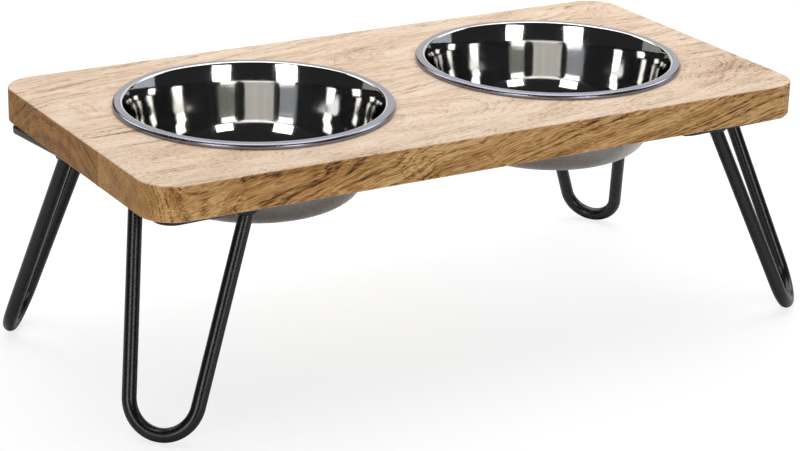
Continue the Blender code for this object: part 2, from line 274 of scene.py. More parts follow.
def eased_edge(bottom: float, top: float, ease: float, steps: int) -> Points:
    """The edge of a flat piece from its foot to its top, with a quarter circle at each.

    Args:
        bottom: The height of its foot.
        top: The height of its top.
        ease: The radius of the two quarter circles.
        steps: How many stretches each of them is cut into.

    Returns:
        An array of (inset, height) rows.
    """
    low = arc((ease, bottom + ease), ease, -QUARTER, -math.pi, steps)
    high = arc((ease, top - ease), ease, math.pi, QUARTER, steps)
    return np.concatenate([low, high])


def lifted(flat: Points, height: float) -> Points:
    """Points with one more coordinate, which is the same height for all."""
    return np.column_stack([flat, np.full(len(flat), height)])


def placed(points: Points, frame: Matrix) -> Points:
    """A flat list of the points, turned and shifted by a frame."""
    matrix = np.array(frame)
    return points.reshape(-1, 3) @ matrix[:3, :3].T + matrix[:3, 3]


def grid_faces(rows: int, columns: int, closed_rows: bool = False) -> Points:
    """The four-sided faces of a grid of points that are numbered row by row, each row a closed ring.

    They point outwards where the rings run counter-clockwise as seen from the last one.

    Args:
        rows: How many rows there are.
        columns: How many points a row has.
        closed_rows: Whether the last row joins the first.

    Returns:
        An array with four point numbers for each face.
    """
    row = np.arange(rows if closed_rows else rows - 1)[:, None]
    column = np.arange(columns)[None, :]
    here, there = row * columns, (row + 1) % rows * columns
    onward = (column + 1) % columns
    corners = [here + column, here + onward, there + onward, there + column]
    return np.stack(corners, axis=-1).reshape(-1, 4)


def capped_faces(rows: int, columns: int) -> list[list[int]]:
    """The faces of a grid of rings, with the first and the last ring filled by one face each."""
    numbers = np.arange(rows * columns).reshape(rows, columns)
    return [*grid_faces(rows, columns).tolist(), numbers[0, ::-1].tolist(), numbers[-1].tolist()]


def as_object(name: str, points: Points, faces: list[list[int]], materials: list[Material]) -> Object:
    """Makes a smooth-shaded object whose place is in its mesh.

    Args:
        name: The piece's name.
        points: Its points, in metres.
        faces: Point numbers of each face, counter-clockwise as seen from outside.
        materials: Its material slots.

    Returns:
        The linked object.
    """
    mesh = bpy.data.meshes.new(name)
    mesh.from_pydata(points.tolist(), [], faces)
    mesh.validate()
    for material in materials:
        mesh.materials.append(material)
    mesh.shade_smooth()
    mesh.set_sharp_from_angle(angle=SHARP_ANGLE)
    obj = bpy.data.objects.new(name, mesh)
    bpy.context.scene.collection.objects.link(obj)
    return obj


def close_poles(turned: Object) -> None:
    """Merges the points of a turned piece that fall together on its axis, and faces it outwards.

    Args:
        turned: The piece.
    """
    shape = bmesh.new()
    shape.from_mesh(turned.data)
    bmesh.ops.remove_doubles(shape, verts=shape.verts, dist=MERGE_DISTANCE)
    bmesh.ops.recalc_face_normals(shape, faces=shape.faces)
    shape.to_mesh(turned.data)
    shape.free()


def mount_piece(obj: Object, body: Body, slot: str, *nodes: str) -> Object:
    """Makes a finished piece ride on a body and stand for the solids that it covers.

    Args:
        obj: The piece.
        body: What carries it.
        slot: The name of a material slot; not used.
        *nodes: The solids that it stands for.

    Returns:
        The same piece.
    """
    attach(obj, body.value)
    if nodes:
        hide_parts(*nodes)
    LOG.info("%s rides on %s: %d faces", obj.name, body.value, len(obj.data.polygons))
    return obj


@dataclass(frozen=True)
class Streak:
    """A dark mineral streak in the wood: a slim blot that fades out towards its ends and sides.

    Its middle and its half lengths along, across and through the board are in millimetres. The slope is its
    way to the back for each step along the board, and the depth is what it adds to the wood's dark tone.
    """

    centre: Triple
    half_lengths: Triple
    slope: float
    depth: float


@dataclass(frozen=True)
class MangoWood:
    """Mango wood, planed and sanded, then thinly oiled.

    That gives a pale sandy face with thin broken darker lines and soft bands along the grain. The sides and
    ends drink more oil, so they turn a streaky golden brown.

    The pith is a point on the middle of the growth rings. From it the grain rises along the board by one
    angle and drifts to the back by another, both in radians. Rings and bands have a mean width. Each set of
    tones goes from light to dark, and each set of weights says how much bands, clouds, fibres, veins and
    pits darken a face.
    """

    name: str
    pith: Triple
    rise: float
    drift: float
    streaks: tuple[Streak, ...] = ()
    ring_width: float = 1.2 * MM
    band_width: float = 9 * MM
    face_tones: Tones = ("ecd6c0", "dcbfa1", "8a6344")
    side_tones: Tones = ("ecc287", "c38e4f", "4e2b0c")
    end_tones: Tones = ("c08d4a", "a06d35", "4e2f11")
    tone_stops: Triple = (0.1, 0.4, 1.0)
    face_weights: tuple[float, ...] = (0.12, 0.20, 0.16, 0.36, 0.40)
    side_weights: tuple[float, ...] = (0.20, 0.14, 0.26, 0.58, 0.34)
    roughness: Pair = (0.5, 0.68)

    def build(self) -> Material:
        """Lays growth lines, bands, fibres and pores along the grain and tints them by how a face looks.

        All patterns are solid ones in the grain's own frame, so they run on from the face over the edges
        into the end grain.

        Returns:
            The material.
        """
        material, tree, shader = new_material(self.name)
        coordinates = add_node(tree, "ShaderNodeTexCoord").outputs
        grain = self._grain(tree, coordinates["Object"])
        lines = self._rings(tree, grain, self.ring_width, (0.46, 0.66))
        bands = self._rings(tree, grain, self.band_width, (0.36, 0.66))
        clouds = stretched_noise(tree, grain, (90, 11, 11), (0.36, 0.64))
        patches = stretched_noise(tree, grain, (50, 7, 7), (0.40, 0.60), distortion=0.4)
        # Fibres and pores are drawn 0.5 mm thick and more, coarser than the real 0.2 mm, so that they show
        fibres = stretched_noise(tree, grain, (11, 0.5, 0.5), (0.34, 0.66), detail=1.0, distortion=0.3)
        pores = stretched_noise(tree, grain, (7, 0.6, 0.6), (0.55, 0.64), detail=1.0, distortion=0.5)
        broken = weighed_sum(tree, [(fibres, 0.75), (patches, 0.30)])
        veins = weighed_sum(tree, [(lines, broken)])
        pits = weighed_sum(tree, [(pores, patches)])
        patterns = (bands, clouds, fibres, veins, pits)
        marks = self._streaks(tree, coordinates["Object"], fibres)
        face_tone = weighed_sum(tree, [*zip(patterns, self.face_weights), *marks])
        side_tone = weighed_sum(tree, [*zip(patterns, self.side_weights), *marks])
        colour = self._tint(tree, side_tone, self.side_tones)
        # From the sides' colour to the ends' where a face looks along X, and to the top's along Z
        for axis, limits, tone, tones in (
            ("X", (0.45, 0.95), side_tone, self.end_tones),
            ("Z", (0.35, 0.85), face_tone, self.face_tones),
        ):
            share = self._axis_share(tree, coordinates["Normal"], axis, limits)
            blend = {"Factor": share, 6: colour, 7: self._tint(tree, tone, tones)}
            colour = add_node(tree, "ShaderNodeMix", {"data_type": "RGBA"}, blend).outputs[2]
        low, high = self.roughness
        gloss = add_node(tree, "ShaderNodeMapRange", {}, {"Value": fibres, "To Min": low, "To Max": high})
        relief = weighed_sum(tree, [(fibres, -0.4), (veins, -0.4), (pits, -1.0)])
        raised = {"Strength": 0.5, "Distance": 0.2 * MM, "Height": relief}
        finish = {
            "Base Color": colour,
            "Specular IOR Level": 0.3,
            "Roughness": gloss.outputs["Result"],
            "Normal": add_node(tree, "ShaderNodeBump", {}, raised).outputs["Normal"],
        }
        set_inputs(tree, shader, finish)
        return material

    def _grain(self, tree: Tree, place: Socket) -> Socket:
        """The place in the grain's own frame: turned by its slopes, with the pith on the X axis.

        It wanders by up to 4 mm sideways in swells some 110 mm long, and by up to 0.6 mm in ripples.

        Args:
            tree: The node tree that it goes into.
            place: The place on the piece.

        Returns:
            The output of the place in the grain.
        """
        turn = Euler((0.0, self.rise, -self.drift))
        back_to_origin = -(turn.to_matrix() @ Vector(self.pith))
        turned = {"Vector": place, "Location": back_to_origin, "Rotation": turn}
        grain = add_node(tree, "ShaderNodeMapping", {"vector_type": "POINT"}, turned).outputs["Vector"]
        for cell, reach in (((110, 45, 45), 16 * MM), ((21, 12, 12), 2.4 * MM)):
            noise = cell_noise(tree, place, cell, detail=2.0, roughness=0.5).outputs["Color"]
            halves = {0: noise, 1: (0.5, 0.5, 0.5)}
            centred = add_node(tree, "ShaderNodeVectorMath", {"operation": "SUBTRACT"}, halves)
            shifts = {0: centred.outputs["Vector"], 1: (0.0, reach, reach), 2: grain}
            wandered = add_node(tree, "ShaderNodeVectorMath", {"operation": "MULTIPLY_ADD"}, shifts)
            grain = wandered.outputs["Vector"]
        return grain

    @staticmethod
    def _rings(tree: Tree, grain: Socket, width: float, contrast: Pair) -> Socket:
        """Growth rings: one-dimensional noise over the distance from the pith, in ring widths.

        Args:
            tree: The node tree that they go into.
            grain: The place in the grain, with the pith on its X axis.
            width: A ring's mean width, in metres.
            contrast: The noise values that become 0 and 1.

        Returns:
            The rings' output.
        """
        sides = {0: grain, 1: (0.0, 1.0, 1.0)}
        across = add_node(tree, "ShaderNodeVectorMath", {"operation": "MULTIPLY"}, sides)
        length = {0: across.outputs["Vector"]}
        distance = add_node(tree, "ShaderNodeVectorMath", {"operation": "LENGTH"}, length).outputs["Value"]
        rings = add_node(tree, "ShaderNodeMath", {"operation": "DIVIDE"}, {0: distance, 1: width})
        inputs = {"W": rings.outputs["Value"], "Scale": 1.0, "Detail": 3.0, "Roughness": 0.6}
        noise = add_node(tree, "ShaderNodeTexNoise", {"noise_dimensions": "1D"}, inputs)
        low, high = contrast
        spread = {"Value": noise.outputs["Fac"], "From Min": low, "From Max": high}
        return add_node(tree, "ShaderNodeMapRange", SMOOTH, spread).outputs["Result"]

    def _streaks(self, tree: Tree, place: Socket, fibres: Socket) -> list[tuple[Socket, float]]:
        """Lays the streaks: each a ball of fading dark, stretched to size and broken by the fibres.

        Args:
            tree: The node tree that they go into.
            place: The place on the piece.
            fibres: The fibres' pattern.

        Returns:
            The pattern and the depth of each.
        """
        # Between the fibres a streak keeps 0.6 of its dark, and on them it has 1.3 of it
        ragged = weighed_sum(tree, [(fibres, 0.7)], base=0.6)
        marks = []
        for streak in self.streaks:
            stretch = {
                "Vector": place,
                "Location": tuple(length * MM for length in streak.centre),
                "Rotation": Euler((0.0, 0.0, math.atan(streak.slope))),
                "Scale": tuple(length * MM for length in streak.half_lengths),
            }
            laid = add_node(tree, "ShaderNodeMapping", {"vector_type": "TEXTURE"}, stretch)
            ball = {"Vector": laid.outputs["Vector"]}
            blot = add_node(tree, "ShaderNodeTexGradient", {"gradient_type": "SPHERICAL"}, ball)
            marks.append((weighed_sum(tree, [(blot.outputs["Fac"], ragged)]), streak.depth))
        return marks

    @staticmethod
    def _axis_share(tree: Tree, normal: Socket, axis: str, limits: Pair) -> Socket:
        """How far a face looks along an axis, from 0 to 1 between two limits of its normal's part.

        Args:
            tree: The node tree that it goes into.
            normal: The face's normal.
            axis: The axis, X, Y or Z.
            limits: The parts of the normal along it that become 0 and 1.

        Returns:
            The share's output.
        """
        parts = add_node(tree, "ShaderNodeSeparateXYZ", {}, {"Vector": normal})
        part = add_node(tree, "ShaderNodeMath", {"operation": "ABSOLUTE"}, {0: parts.outputs[axis]})
        low, high = limits
        spread = {"Value": part.outputs["Value"], "From Min": low, "From Max": high}
        return add_node(tree, "ShaderNodeMapRange", {}, spread).outputs["Result"]

    def _tint(self, tree: Tree, tone: Socket, tones: Tones) -> Socket:
        """Turns a tone into a colour between a light, a middle and a dark one."""
        stops = [(place, linear(colour)) for place, colour in zip(self.tone_stops, tones)]
        return add_node(tree, "ShaderNodeValToRGB", {"ramp": stops}, {"Fac": tone}).outputs["Color"]


@dataclass(frozen=True)
class Steel:
    """Pressed stainless steel, turned against a wheel, in one of the bowl's three finishes.

    The buffed inside mirrors the room, a little smeared along the wheel's rings. The lip and the outside
    are left satin, so they only catch soft bands. Their colours are darker than the inside's, which is
    painted shade, and the lip's is tinted lilac as a painted reflection. The unevenness is how far the
    roughness strays from its mean, and the ring relief is the strength of the wheel's marks.
    """

    name: str
    colour: str
    roughness: float
    unevenness: float
    ring_relief: float
    dulled: float = 0.86

    def build(self) -> Material:
        """Lays the wheel's fine rings and cloudy wipe marks over the bowl's own turned coordinates.

        Returns:
            The material.
        """
        material, tree, shader = new_material(self.name)
        place = add_node(tree, "ShaderNodeAttribute", {"attribute_name": SPIN}).outputs["Vector"]
        # Rings 0.35 mm apart and clouds of 12 mm, drawn coarser than the wheel's real 0.05 mm marks
        rings = stretched_noise(tree, place, (60, 60, 0.35), (0.3, 0.7))
        clouds = stretched_noise(tree, place, (12, 12, 9), (0.3, 0.7), detail=3.0)
        # Wipe marks run down the wall, 3 mm wide and 40 mm long
        wipes = stretched_noise(tree, place, (3, 3, 40), (0.35, 0.7))
        dull = weighed_sum(tree, [(rings, 0.3), (clouds, 0.3), (wipes, 0.4)])
        smooth = self.roughness * (1 - self.unevenness)
        rough = self.roughness * (1 + self.unevenness)
        gloss = add_node(tree, "ShaderNodeMapRange", {}, {"Value": dull, "To Min": smooth, "To Max": rough})
        clean = linear(self.colour)
        stops = [(0.0, clean), (1.0, (*(self.dulled * part for part in clean[:3]), 1.0))]
        tint = add_node(tree, "ShaderNodeValToRGB", {"ramp": stops}, {"Fac": dull})
        raised = {"Strength": self.ring_relief, "Distance": 0.02 * MM, "Height": rings}
        finish = {
            "Base Color": tint.outputs["Color"],
            "Metallic": 1.0,
            "Roughness": gloss.outputs["Result"],
            "Normal": add_node(tree, "ShaderNodeBump", {}, raised).outputs["Normal"],
        }
        set_inputs(tree, shader, finish)
        return material


@dataclass(frozen=True)
class BlackCoat:
    """Black polyester powder coat, baked on steel, or a black film with a finer grain.

    It flows into a fine orange peel, so its highlights are soft and a little broken. The peel is the size
    of its dimples in millimetres.
    """

    name: str
    colour: str = "121315"
    roughness: float = 0.27
    peel: float = 0.9

    def build(self) -> Material:
        """Raises a bump of the peel's size, and lets the gloss vary a little.

        Returns:
            The material.
        """
        material, tree, shader = new_material(self.name)
        place = add_node(tree, "ShaderNodeTexCoord").outputs["Object"]
        peel = cell_noise(tree, place, (self.peel,) * 3, detail=2.0, roughness=0.5).outputs["Fac"]
        spread = {
            "Value": peel,
            "From Min": 0.3,
            "From Max": 0.7,
            "To Min": self.roughness * 0.85,
            "To Max": self.roughness * 1.2,
        }
        raised = {"Strength": 0.12, "Distance": 0.2 * MM, "Height": peel}
        finish = {
            "Base Color": linear(self.colour),
            "Roughness": add_node(tree, "ShaderNodeMapRange", {}, spread).outputs["Result"],
            "Normal": add_node(tree, "ShaderNodeBump", {}, raised).outputs["Normal"],
        }
        set_inputs(tree, shader, finish)
        return material


@dataclass
class Board:
    """The board, glued up from two staves, with a round hole for each bowl."""

    length: float = 400 * MM
    depth: float = 200 * MM
    thickness: float = 19 * MM
    top: float = 139 * MM
    corner_radius: float = 19 * MM
    easing: float = 0.9 * MM
    front_stave_depth: float = 66 * MM
    seam_gap: float = 0.05 * MM
    hole_radius: float = 71.59 * MM
    hole_spacing: float = 188 * MM
    corner_steps: int = 24
    hole_steps: int = 96
    easing_steps: int = 4

    def outline(self, side: int, inset: float) -> Points:
        """One stave's outline, counter-clockwise, drawn in from its outer edge and holes by an inset.

        The corners are quarter circles of the corner radius less the inset, and each hole is an arc of the
        hole radius plus the inset, cut off by the seam. The count of points doesn't depend on the inset,
        so outlines of several insets make a grid.

        Args:
            side: -1 for the front stave and 1 for the back one.
            inset: How far to draw it in, in metres.

        Returns:
            An array of points.
        """
        half_x = self.length / 2 - inset
        half_y = self.depth / 2 - inset
        radius = self.corner_radius - inset
        seam = self.front_stave_depth - self.depth / 2 + side * self.seam_gap / 2
        corners = []
        start = 0.0 if side > 0 else math.pi
        for corner_side in (side, -side):
            centre = (corner_side * (half_x - radius), side * (half_y - radius))
            corners.append(arc(centre, radius, start, start + QUARTER, self.corner_steps))
            start += QUARTER
        hole = self.hole_radius + inset
        reach = math.asin(seam / hole)
        first, last = (math.pi - reach, reach) if side > 0 else (reach, -math.pi - reach)
        holes = []
        for hole_side in (-side, side):
            centre = (hole_side * self.hole_spacing / 2, 0.0)
            holes.append(arc(centre, hole, first, last, self.hole_steps))
        return np.concatenate([[[side * half_x, seam]], *corners, [[-side * half_x, seam]], *holes])

    def build_stave(self, name: str, side: int, node: str, wood: Material) -> None:
        """Carries the eased edge round a stave's outline and closes it above and below.

        Args:
            name: The piece's name.
            side: -1 for the front stave and 1 for the back one.
            node: The solid that it stands for.
            wood: Its material.
        """
        edge = eased_edge(self.top - self.thickness, self.top, self.easing, self.easing_steps)
        rings = [lifted(self.outline(side, inset), height) for inset, height in edge]
        faces = capped_faces(len(rings), len(rings[0]))
        stave = as_object(name, np.concatenate(rings), faces, [wood])
        mount_piece(stave, Body.STAND, "wood", node)


@dataclass
class Bowl:
    """A pressed steel bowl: a flared mouth, a wall that curves in, and a flat lip with a turned edge.

    A taper is the surface's lean off the vertical. The drop is how far the bowl reaches down under the
    board's top, and the edge gap is how far its lip's edge stays above it.
    """

    body: Body
    side: int
    spacing: float = 188 * MM
    board_top: float = 139 * MM
    lip_radius: float = 75.5 * MM
    lip_width: float = 4.4 * MM
    lip_rise: float = 2.8 * MM
    edge_radius: float = 1.6 * MM
    edge_gap: float = 0.3 * MM
    mouth_radius: float = 1.25 * MM
    flare_taper: float = math.radians(21.6)
    flare_radius: float = 51.7 * MM
    wall_taper: float = math.radians(9.0)
    haunch_radius: float = 40.1 * MM
    haunch_taper: float = math.radians(35.1)
    cove_radius: float = 16.2 * MM
    drop: float = 50.1 * MM
    sheet: float = 0.7 * MM
    steps: int = 256
    straight_rows: int = 6
    floor_rows: int = 14
    edge_rows: int = 8

    def inner_profile(self) -> Points:
        """Radius and height of the inner and upper surface, from the floor's middle to the lip's edge.

        Going down from the lip, where the lean is 90 degrees, it shrinks to the flare's round the mouth,
        then to the wall's round the flare. After a straight stretch it grows to the haunch's round the
        haunch, then back to 90 degrees round the cove.

        Returns:
            An array of (radius, height above the board's top) rows.
        """
        floor = self.sheet - self.drop
        # Each stretch has its radius, its lean at the top and at the foot, and how many rows it gets
        upper = [
            (self.mouth_radius, QUARTER, self.flare_taper, 16),
            (self.flare_radius, self.flare_taper, self.wall_taper, 16),
        ]
        lower = [
            (self.haunch_radius, self.wall_taper, self.haunch_taper, 24),
            (self.cove_radius, self.haunch_taper, QUARTER, 32),
        ]
        rows = [np.array([[self.lip_radius - self.lip_width, self.lip_rise]])]
        for stretch in upper:
            rows.append(self._stretch(rows[-1][-1], *stretch))
        fall = sum(radius * (math.sin(foot) - math.sin(head)) for radius, head, foot, _ in lower)
        straight = (rows[-1][-1][1] - floor - fall) / math.cos(self.wall_taper)
        step = straight * np.array([-math.sin(self.wall_taper), -math.cos(self.wall_taper)])
        rows.append(rows[-1][-1] + step * np.linspace(0, 1, self.straight_rows + 1)[1:, None])
        for stretch in lower:
            rows.append(self._stretch(rows[-1][-1], *stretch))
        inside = np.concatenate(rows)[::-1]
        middle = (self.lip_radius - self.edge_radius, self.lip_rise - self.edge_radius)
        edge = arc(middle, self.edge_radius, QUARTER, 0.0, self.edge_rows)
        shares = np.linspace(0.02, 0.94, self.floor_rows)[:, None]
        flat = lifted(shares * inside[0, 0], floor)
        return np.concatenate([[[0.0, floor]], flat, inside, edge, [[self.lip_radius, self.edge_gap]]])

    @staticmethod
    def _stretch(start: Points, radius: float, first: float, last: float, steps: int) -> Points:
        """Follows the falling surface while its lean changes from one angle to another.

        The exact arc: the radius times the change of the cosine goes inwards, and times the change of the
        sine downwards, each counted so that the surface falls.

        Args:
            start: The last point before it, as radius and height.
            radius: The arc's radius.
            first: The lean that it starts with, in radians.
            last: The lean that it ends with, in radians.
            steps: How many points it gets.

        Returns:
            An array of (radius, height) rows.
        """
        lean = np.linspace(first, last, steps + 1)[1:]
        sign = 1.0 if last > first else -1.0
        inwards = sign * radius * (math.cos(first) - np.cos(lean))
        down = sign * radius * (np.sin(lean) - math.sin(first))
        return np.asarray(start) - np.stack([inwards, down], axis=1)

    def shell_profile(self) -> tuple[Points, int, int]:
        """The closed outline of the sheet, inner side first.

        Each point of the other side lies a sheet's thickness along the normal of the first.

        Returns:
            The outline, and the numbers of its rows where the lip starts and where the outside does.
        """
        inner = self.inner_profile()
        along = np.gradient(inner, axis=0)
        along[0] = [1.0, 0.0]
        along[-1] = [0.0, -1.0]
        along /= np.linalg.norm(along, axis=1, keepdims=True)
        outer = inner + self.sheet * np.stack([along[:, 1], -along[:, 0]], axis=1)
        outer[0, 0] = 0.0
        lip = int(np.argmax(inner[:, 1] > self.lip_rise - MERGE_DISTANCE))
        return np.concatenate([inner, outer[::-1]]), lip, len(inner)

    def build(self, name: str, node: str, steels: list[Material]) -> None:
        """Turns the sheet's outline about the bowl's axis.

        Args:
            name: The piece's name.
            node: The solid that it stands for.
            steels: The materials of the inside, the lip and the outside.
        """
        profile, lip, outside = self.shell_profile()
        angles = full_turn(self.steps)
        ring = np.stack([np.cos(angles), np.sin(angles)], axis=1)
        flat = profile[:, None, 0:1] * ring[None]
        height = np.broadcast_to(profile[:, None, 1:2], (*flat.shape[:2], 1))
        middle = [self.side * self.spacing / 2, 0.0, self.board_top]
        points = (np.concatenate([flat, height], axis=2) + middle).reshape(-1, 3)
        faces = grid_faces(len(profile), self.steps)
        bowl = as_object(name, points, faces.tolist(), steels)
        row = np.arange(len(faces)) // self.steps
        slots = ((row >= lip).astype(np.int32) + (row >= outside)).astype(np.int32)
        bowl.data.polygons.foreach_set("material_index", slots)
        lengths = np.linalg.norm(np.diff(profile, axis=0, prepend=profile[:1]), axis=1)
        way = np.broadcast_to(np.cumsum(lengths)[:, None, None], (*flat.shape[:2], 1))
        bearing = np.broadcast_to(self.lip_radius * ring, flat.shape)
        spin = bowl.data.attributes.new(SPIN, "FLOAT_VECTOR", "POINT")
        spin.data.foreach_set("vector", np.concatenate([bearing, way], axis=2).astype(np.float32).ravel())
        close_poles(bowl)
        mount_piece(bowl, self.body, "bowl_steel", node)


@dataclass(frozen=True)
class Screw:
    """A round-headed wood screw with a cross recess, point up, its head's seat at zero."""

    head_radius: float = 3.6 * MM
    head_height: float = 2.4 * MM
    recess_half_width: float = 0.45 * MM
    recess_reach: float = 1.9 * MM
    recess_depth: float = 1.2 * MM
    recess_wall: float = 0.3 * MM
    shank_radius: float = 1.75 * MM
    core_share: float = 0.72
    pitch: float = 1.4 * MM
    length: float = 16 * MM
    point_length: float = 4 * MM
    sides: int = 48
    head_rows: int = 14
    shank_rows: int = 54

    def surface(self) -> Points:
        """The screw as rings of points, from the middle of its head to its point.

        The head is a dome over polar coordinates whose height drops inside the cross. The thread is a
        cylinder whose radius rises and falls once for each pitch along and turn round it.

        Returns:
            An array of rings, points of a ring, and coordinates.
        """
        slope = np.linspace(0.0, 1.0, self.head_rows)[1:, None] * math.pi / 2
        around = full_turn(self.sides)[None]
        reach = self.head_radius * np.sin(slope)
        x, y = reach * np.cos(around), reach * np.sin(around)
        dome = -self.head_height * np.cos(slope) * np.ones_like(around)
        width, far = self.recess_half_width, self.recess_reach
        distance = np.minimum(
            np.maximum(np.abs(x) - far, np.abs(y) - width), np.maximum(np.abs(y) - far, np.abs(x) - width)
        )
        sunk = self.recess_depth * np.clip(0.5 - distance / self.recess_wall, 0.0, 1.0)
        head = np.stack([x, y, dome + sunk], axis=-1)
        pole = np.broadcast_to([0.0, 0.0, self.recess_depth - self.head_height], (1, self.sides, 3))
        along = np.linspace(0, self.length - self.point_length, self.shank_rows)[:, None]
        wave = np.abs(((along / self.pitch - around / (2 * math.pi)) % 1.0) * 2 - 1)
        radius = self.shank_radius * (self.core_share + (1 - self.core_share) * wave)
        height = along * np.ones_like(around)
        shank = np.stack([radius * np.cos(around), radius * np.sin(around), height], axis=-1)
        tip = np.broadcast_to([0.0, 0.0, self.length], (1, self.sides, 3))
        return np.concatenate([pole, head, shank, tip])


@dataclass
class Leg:
    """One hairpin leg: a bent rod, welded to a three-cornered plate that is screwed under the board.

    Every leg was set by hand, so its plate and rod stand off the regular layout: by shifts along X and Y
    and an extra bend radius in millimetres, and by turns and an extra lean in degrees.
    """

    corner: Corner
    plate_shift: Pair
    plate_turn: float
    rod_shift: Pair
    rod_turn: float
    extra_lean: float
    extra_bend: float = 0.0
    underside: float = 116.7 * MM
    joint_gap: float = 0.06 * MM
    plate_thickness: float = 3.0 * MM
    plate_side: float = 90 * MM
    plate_rounding: float = 9.5 * MM
    tip_rounding: float = 8.0 * MM
    plate_easing: float = 0.35 * MM
    rounding_steps: int = 12
    easing_steps: int = 3
    hole_radius: float = 2.15 * MM
    hole_sides: int = 24
    rod_radius: float = 3.8 * MM
    rod_spread: float = 61.2 * MM
    bend_radius: float = 19 * MM
    lean: float = math.radians(21)
    rod_inset: float = 32 * MM
    rod_sides: int = 32
    bend_steps: int = 40
    run_steps: int = 8
    weld_width: float = 2.1 * MM
    weld_height: float = 4.0 * MM
    weld_bite: float = 0.05 * MM
    weld_rows: int = 9
    weld_sides: int = 96
    weld_ripples: int = 17
    screw_inset: float = 11 * MM
    board_half: Pair = (200 * MM, 100 * MM)
    plate_inset: Pair = (5.0 * MM, 8.5 * MM)

    @property
    def plate_frame(self) -> Matrix:
        """Places the plate's square corner, whose sides run along -X and -Y in its own frame."""
        x_side, y_side = self.corner.value
        x = x_side * (self.board_half[0] - self.plate_inset[0]) + self.plate_shift[0] * MM
        y = y_side * (self.board_half[1] - self.plate_inset[1]) + self.plate_shift[1] * MM
        turn = self.corner.diagonal - math.pi / 4 + math.radians(self.plate_turn)
        return Matrix.Translation((x, y, self.underside)) @ Matrix.Rotation(turn, 4, "Z")

    @property
    def rod_frame(self) -> Matrix:
        """Places the middle between the rod's two ends, with +X the way that the rod leans."""
        x_side, y_side = self.corner.value
        corner = self.plate_frame.translation
        x = corner.x + self.rod_shift[0] * MM - x_side * self.rod_inset
        y = corner.y + self.rod_shift[1] * MM - y_side * self.rod_inset
        turn = self.corner.diagonal + math.radians(self.rod_turn)
        return Matrix.Translation((x, y, self.underside)) @ Matrix.Rotation(turn, 4, "Z")

    @property
    def rod_lean(self) -> float:
        """How far the rod leans off the vertical, in radians."""
        return self.lean + math.radians(self.extra_lean)

    def rod_path(self) -> tuple[Points, Points]:
        """The rod's centre line and its direction at each point, in the rod's own frame.

        Two straight runs touch a circle of the bend's radius, in a plane that leans outwards. The bend's
        lowest point stands a rod's radius above the floor.

        Returns:
            The points and the unit directions.
        """
        bend_radius = self.bend_radius + self.extra_bend * MM
        half_spread = self.rod_spread / 2
        distance = (self.underside - self.rod_radius) / math.cos(self.rod_lean) - bend_radius
        to_bend = math.hypot(distance, half_spread)
        closing = math.acos(bend_radius / to_bend) - math.atan2(distance, half_spread)
        reach = QUARTER - closing
        bend = arc((distance, 0.0), bend_radius, reach, -reach, self.bend_steps)
        first, last = np.array([[0.0, half_spread], [0.0, -half_spread]])
        steps = self.run_steps
        run = np.linspace(0, 1, steps + 1)[:-1, None]
        flat = np.concatenate([first + (bend[0] - first) * run, bend, (last + (bend[-1] - last) * run)[::-1]])
        down = np.array([math.sin(self.rod_lean), 0.0, -math.cos(self.rod_lean)])
        points = flat[:, :1] * down + flat[:, 1:] * np.array([0.0, 1.0, 0.0])
        ways = np.gradient(points, axis=0)
        ways[:steps] = points[steps] - points[0]
        ways[-steps:] = points[-1] - points[-steps - 1]
        return points, ways / np.linalg.norm(ways, axis=1, keepdims=True)

    def build_rod(self, coat: Material) -> None:
        """Carries a circle along the rod's path and cuts both ends level under the plate.

        Args:
            coat: Its material.
        """
        points, ways = self.rod_path()
        level = np.array([math.cos(self.rod_lean), 0.0, math.sin(self.rod_lean)])
        side = np.cross(level, ways)
        angles = full_turn(self.rod_sides)[None, :, None]
        tube = points[:, None] + self.rod_radius * (np.cos(angles) * side[:, None] + np.sin(angles) * level)
        for end in (0, -1):
            slide = (-self.joint_gap - tube[end, :, 2]) / ways[end][2]
            tube[end] += slide[:, None] * ways[end]
        name = self.corner.label
        faces = capped_faces(*tube.shape[:2])
        rod = as_object(name + "_rod", placed(tube, self.rod_frame), faces, [coat])
        mount_piece(rod, Body.STAND, "black_steel", name + "_hairpin")

    def plate_outline(self, inset: float) -> Points:
        """The plate's edge in its own frame: a right triangle with rounded corners, drawn in by an inset.

        Args:
            inset: How far to draw it in, in metres.

        Returns:
            An array of points, counter-clockwise.
        """
        corners = np.array([[0.0, 0.0], [-self.plate_side, 0.0], [0.0, -self.plate_side]])
        radii = (self.plate_rounding, self.tip_rounding, self.tip_rounding)
        runs = []
        for i, radius in enumerate(radii):
            before = corners[i - 1] - corners[i]
            after = corners[(i + 1) % 3] - corners[i]
            before /= np.linalg.norm(before)
            after /= np.linalg.norm(after)
            half = math.acos(float(before @ after)) / 2
            middle = (before + after) / np.linalg.norm(before + after)
            centre = corners[i] + middle * radius / math.sin(half)
            start = math.atan2(before[0], -before[1])
            turn = math.pi - 2 * half
            runs.append(arc(tuple(centre), radius - inset, start, start + turn, self.rounding_steps))
        return np.concatenate(runs)

    def screw_places(self) -> dict[str, Pair]:
        """The three screws' places in the plate's own frame, by the end of their solids' names."""
        # The tips have angles of 45 degrees, whose halves give where the tip's rounding has its middle
        tip = self.plate_side - self.tip_rounding / math.tan(math.pi / 8)
        return {
            "corner": (-self.screw_inset, -self.screw_inset),
            "x_tip": (-tip, -self.tip_rounding),
            "y_tip": (-self.tip_rounding, -tip),
        }

    def build_plate(self, coat: Material) -> None:
        """Carries an eased edge round the plate's outline and fills both faces round the screw holes.

        Args:
            coat: Its material.
        """
        edge = eased_edge(0.0, self.plate_thickness, self.plate_easing, self.easing_steps)
        rings = [lifted(self.plate_outline(inset), height) for inset, height in edge]
        count = len(rings[0])
        faces = grid_faces(len(rings), count).tolist()
        start = len(rings) * count
